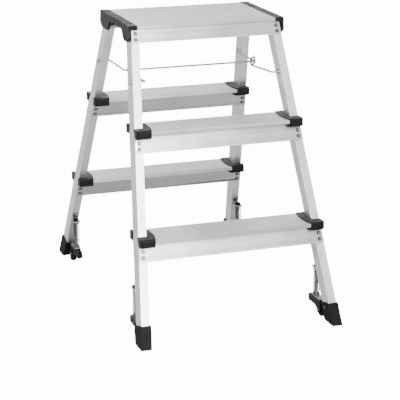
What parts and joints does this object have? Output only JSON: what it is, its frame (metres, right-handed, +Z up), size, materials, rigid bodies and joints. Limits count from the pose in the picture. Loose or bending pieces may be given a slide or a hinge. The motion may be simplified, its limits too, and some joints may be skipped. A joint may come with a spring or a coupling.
{
  "type": "step ladder",
  "caption": "Double-sided folding step ladder with hinged platform, wire spreader, rubber feet and a sprung roller beside each foot.",
  "frame": {"origin": "on the floor at the centre of the footprint, the ladder open and standing on its rollers", "axes": "+Z up, X across the treads, front frame at -Y, rear frame at +Y"},
  "size_m": [0.4992, 0.7636, 0.701],
  "materials": {
    "stile_aluminium": "fine anodised, grain along the length",
    "tread_aluminium": "anodised extrusion, grooved top",
    "cap_plastic": "moulded, low sheen",
    "platform_cap_plastic": "moulded, low sheen",
    "foot_rubber": "matt moulded rubber",
    "rivet_metal": "bright pressed",
    "bracket_steel": "zinc plated",
    "axle_steel": "zinc plated",
    "spring_steel": "bright wire",
    "spreader_wire": "zinc plated wire",
    "retainer_steel": "zinc",
    "housing_plastic": "moulded, low sheen",
    "wheel_rubber": "smooth hard rubber"
  },
  "bodies": {
    "front_frame": {"front_left_stile": "stile_aluminium", "front_right_stile": "stile_aluminium", "front_lower_tread": "tread_aluminium", "front_upper_tread": "tread_aluminium", "front_platform_half": "tread_aluminium", "front_lower_left_cap": "cap_plastic", "front_lower_right_cap": "cap_plastic", "front_upper_left_cap": "cap_plastic", "front_upper_right_cap": "cap_plastic", "front_left_platform_cap": "platform_cap_plastic", "front_left_foot": "foot_rubber", "front_right_platform_cap": "platform_cap_plastic", "front_right_foot": "foot_rubber", "front_rivets": "rivet_metal", "front_hinge_plates": "bracket_steel", "front_spring_brackets": "bracket_steel", "hinge_pins": "axle_steel"},
    "rear_frame": {"rear_left_stile": "stile_aluminium", "rear_right_stile": "stile_aluminium", "rear_lower_tread": "tread_aluminium", "rear_upper_tread": "tread_aluminium", "rear_platform_half": "tread_aluminium", "rear_lower_left_cap": "cap_plastic", "rear_lower_right_cap": "cap_plastic", "rear_upper_left_cap": "cap_plastic", "rear_upper_right_cap": "cap_plastic", "rear_left_platform_cap": "platform_cap_plastic", "rear_left_foot": "foot_rubber", "rear_right_platform_cap": "platform_cap_plastic", "rear_right_foot": "foot_rubber", "rear_rivets": "rivet_metal", "rear_hinge_plates": "bracket_steel", "rear_spring_brackets": "bracket_steel"},
    "spreader_bar": {"spreader_bar": "spreader_wire", "spreader_bar_retainers": "retainer_steel"},
    "spreader_link_left": {"spreader_link_left": "spreader_wire", "spreader_link_left_retainer": "retainer_steel"},
    "spreader_link_right": {"spreader_link_right": "spreader_wire", "spreader_link_right_retainer": "retainer_steel"},
    "front_left_roller_carriage": {"front_left_roller_stem": "bracket_steel", "front_left_spring": "spring_steel", "front_left_roller_housing": "housing_plastic", "front_left_axle": "axle_steel"},
    "front_left_wheel": {"front_left_wheel": "wheel_rubber"},
    "front_right_roller_carriage": {"front_right_roller_stem": "bracket_steel", "front_right_spring": "spring_steel", "front_right_roller_housing": "housing_plastic", "front_right_axle": "axle_steel"},
    "front_right_wheel": {"front_right_wheel": "wheel_rubber"},
    "rear_left_roller_carriage": {"rear_left_roller_stem": "bracket_steel", "rear_left_spring": "spring_steel", "rear_left_roller_housing": "housing_plastic", "rear_left_axle": "axle_steel"},
    "rear_left_wheel": {"rear_left_wheel": "wheel_rubber"},
    "rear_right_roller_carriage": {"rear_right_roller_stem": "bracket_steel", "rear_right_spring": "spring_steel", "rear_right_roller_housing": "housing_plastic", "rear_right_axle": "axle_steel"},
    "rear_right_wheel": {"rear_right_wheel": "wheel_rubber"}
  },
  "joints": [
    {"name": "fold", "type": "hinge", "parent": "front_frame", "child": "rear_frame", "pos_m": [0, 0, 0.688], "axis": [-1, 0, 0], "range_deg": [0, 38]},
    {"name": "spreader_bar_swing", "type": "hinge", "parent": "rear_frame", "child": "spreader_bar", "pos_m": [0, 0.1362, 0.572], "axis": [-1, 0, 0], "range_deg": [0, 29.7]},
    {"name": "spreader_link_left_swing", "type": "hinge", "parent": "front_frame", "child": "spreader_link_left", "pos_m": [0, -0.1362, 0.572], "axis": [1, 0, 0], "range_deg": [0, 29.7]},
    {"name": "spreader_link_right_swing", "type": "hinge", "parent": "front_frame", "child": "spreader_link_right", "pos_m": [0, -0.1362, 0.572], "axis": [1, 0, 0], "range_deg": [0, 29.7]},
    {"name": "front_left_roller_slide", "type": "slide", "parent": "front_frame", "child": "front_left_roller_carriage", "axis": [0, 0, 1], "range_m": [0, 0.008], "stiffness_N_per_m": 2500, "springref_m": -0.014, "deforming": ["front_left_spring"]},
    {"name": "front_left_wheel_spin", "type": "hinge", "parent": "front_left_roller_carriage", "child": "front_left_wheel", "pos_m": [-0.231, -0.3, 0.018], "axis": [1, 0, 0], "continuous": true},
    {"name": "front_right_roller_slide", "type": "slide", "parent": "front_frame", "child": "front_right_roller_carriage", "axis": [0, 0, 1], "range_m": [0, 0.008], "stiffness_N_per_m": 2500, "springref_m": -0.014, "deforming": ["front_right_spring"]},
    {"name": "front_right_wheel_spin", "type": "hinge", "parent": "front_right_roller_carriage", "child": "front_right_wheel", "pos_m": [0.231, -0.3, 0.018], "axis": [1, 0, 0], "continuous": true},
    {"name": "rear_left_roller_slide", "type": "slide", "parent": "rear_frame", "child": "rear_left_roller_carriage", "axis": [0, 0, 1], "range_m": [0, 0.008], "stiffness_N_per_m": 2500, "springref_m": -0.014, "deforming": ["rear_left_spring"]},
    {"name": "rear_left_wheel_spin", "type": "hinge", "parent": "rear_left_roller_carriage", "child": "rear_left_wheel", "pos_m": [-0.231, 0.3, 0.018], "axis": [1, 0, 0], "continuous": true},
    {"name": "rear_right_roller_slide", "type": "slide", "parent": "rear_frame", "child": "rear_right_roller_carriage", "axis": [0, 0, 1], "range_m": [0, 0.008], "stiffness_N_per_m": 2500, "springref_m": -0.014, "deforming": ["rear_right_spring"]},
    {"name": "rear_right_wheel_spin", "type": "hinge", "parent": "rear_right_roller_carriage", "child": "rear_right_wheel", "pos_m": [0.231, 0.3, 0.018], "axis": [1, 0, 0], "continuous": true}
  ],
  "couplings": [
    {"joint": "spreader_bar_swing", "follows": "fold", "ratio": 0.768},
    {"joint": "spreader_link_left_swing", "follows": "fold", "ratio": 0.768},
    {"joint": "spreader_link_right_swing", "follows": "fold", "ratio": 0.768}
  ]
}
